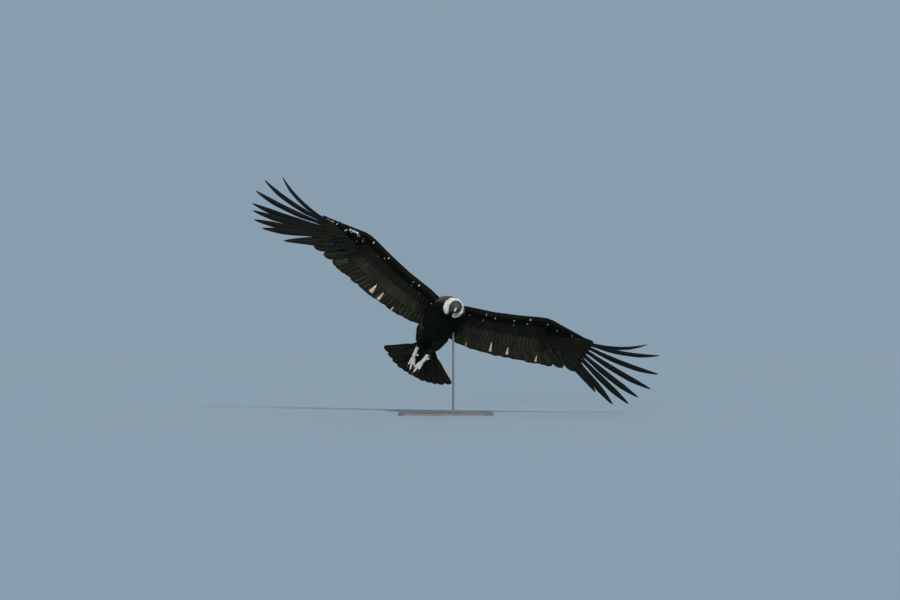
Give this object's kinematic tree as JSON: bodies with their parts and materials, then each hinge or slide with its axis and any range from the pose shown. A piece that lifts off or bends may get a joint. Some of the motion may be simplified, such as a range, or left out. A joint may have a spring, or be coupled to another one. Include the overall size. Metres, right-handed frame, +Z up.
{
  "type": "life-size andean condor model",
  "caption": "Still life-size museum model of an adult Andean condor soaring with spread wings, banked on a plain display stand with a flat base and one rod.",
  "frame": {"origin": "centre of the underside of the stand's base", "axes": "+Z up, +X towards the bird's left wing, which is the longest extent, -Y the way the bird faces"},
  "size_m": [2.6051, 0.7956, 1.5286],
  "materials": {
    "body_plumage": "matte black body feathers with a faint green tint",
    "flight_feathers": "satin dark olive-brown to black vanes",
    "ruff_down": "matte white down",
    "bare_skin": "wrinkled charcoal skin",
    "bill_horn": "satin horn, dark at the base and ivory at the tip",
    "foot_skin": "matte scaled grey skin",
    "claw_horn": "satin dark horn",
    "eye": "wet gloss, red-brown iris and black pupil",
    "stand_metal": "satin dark grey powder coat"
  },
  "bodies": {
    "root": {"torso": "body_plumage", "neck": "bare_skin", "ruff": "ruff_down", "head": "bare_skin", "bill_upper": "bill_horn", "bill_lower": "bill_horn", "eye_left": "eye", "eye_right": "eye", "wing_left": "flight_feathers", "wing_right": "flight_feathers", "tail": "flight_feathers", "thigh_left": "body_plumage", "thigh_right": "body_plumage", "foot_left": "foot_skin", "foot_right": "foot_skin", "claw_left_1": "claw_horn", "claw_left_2": "claw_horn", "claw_left_3": "claw_horn", "claw_left_4": "claw_horn", "claw_right_1": "claw_horn", "claw_right_2": "claw_horn", "claw_right_3": "claw_horn", "claw_right_4": "claw_horn", "stand_base": "stand_metal", "stand_rod": "stand_metal"}
  },
  "joints": []
}
